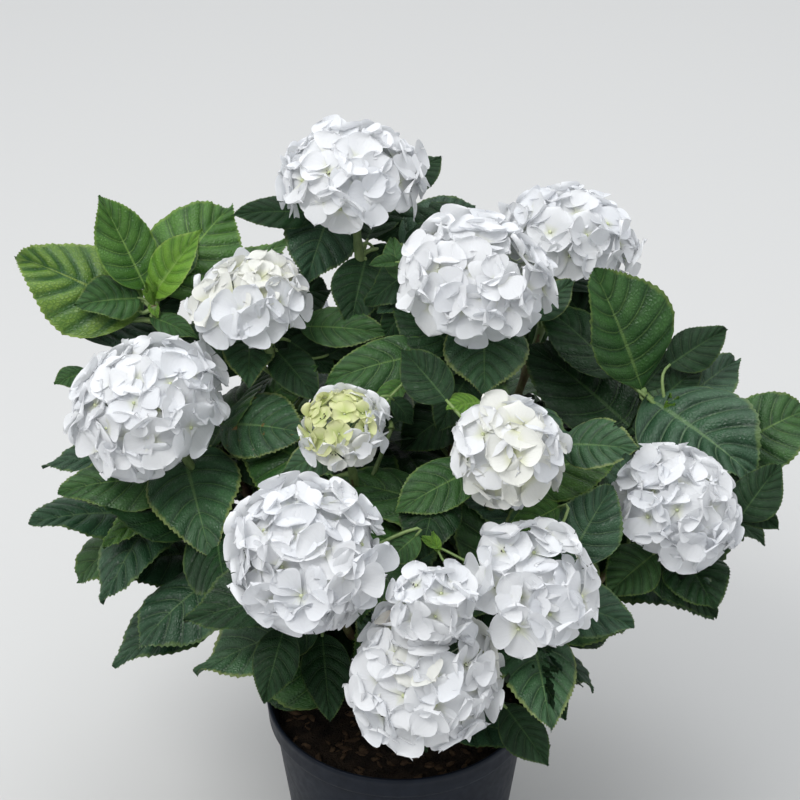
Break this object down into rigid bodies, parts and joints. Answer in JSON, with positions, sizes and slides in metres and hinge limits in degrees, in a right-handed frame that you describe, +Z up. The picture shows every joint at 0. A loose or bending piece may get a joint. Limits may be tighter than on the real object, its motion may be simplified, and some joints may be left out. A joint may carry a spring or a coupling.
{
  "type": "potted hydrangea shrub",
  "caption": "White mophead hydrangea shrub with broad toothed leaves, growing from a woody stool in a plain round plastic pot.",
  "frame": {"origin": "middle of the pot's flat underside, which stands on the ground", "axes": "+Z up, -Y to the shrub's front, +X to the right of someone who looks at that front"},
  "size_m": [0.6683, 0.6312, 0.7268],
  "materials": {
    "pot": "dark navy moulded plastic, satin, dusty",
    "soil": "moist dark compost",
    "stem": "brown ridged bark, green towards the tips",
    "leaf": "dark green, quilted between sunken veins, soft sheen",
    "young_leaf": "yellow green between dark veins, soft sheen",
    "petal": "matt white, faintly veined"
  },
  "bodies": {
    "root": {"pot": "pot", "potting_soil": "soil", "stem_crown": "stem", "flower_head_01": "petal", "flower_head_02": "petal", "flower_head_03": "petal", "flower_head_04": "petal", "flower_head_05": "petal", "flower_head_06": "petal", "flower_head_07": "petal", "flower_head_08": "petal", "flower_head_09": "petal", "flower_head_10": "petal", "flower_head_11": "petal", "flower_head_12": "petal", "flower_head_13": "petal", "flower_head_14": "petal", "flower_head_15": "petal", "flower_head_16": "petal", "flower_head_17": "petal", "stem_01": "stem", "stem_02": "stem", "stem_03": "stem", "stem_04": "stem", "stem_05": "stem", "stem_06": "stem", "stem_07": "stem", "stem_08": "stem", "stem_09": "stem", "stem_10": "stem", "stem_12": "stem", "stem_13": "stem", "stem_14": "stem", "stem_15": "stem", "stem_16": "stem", "stem_17": "stem", "stem_left_shoot": "stem", "stem_right_shoot": "stem", "foliage_01": "leaf", "foliage_02": "leaf", "foliage_03": "leaf", "foliage_04": "leaf", "foliage_05": "leaf", "foliage_06": "leaf", "foliage_07": "leaf", "foliage_08": "leaf", "foliage_09": "leaf", "foliage_10": "leaf", "foliage_12": "leaf", "foliage_13": "leaf", "foliage_14": "leaf", "foliage_15": "leaf", "foliage_16": "leaf", "foliage_17": "leaf", "foliage_left_shoot": "young_leaf", "foliage_right_shoot": "leaf", "foliage_rim_left": "leaf", "foliage_rim_right": "leaf", "foliage_back_left": "leaf", "foliage_back_right": "leaf"}
  },
  "joints": []
}
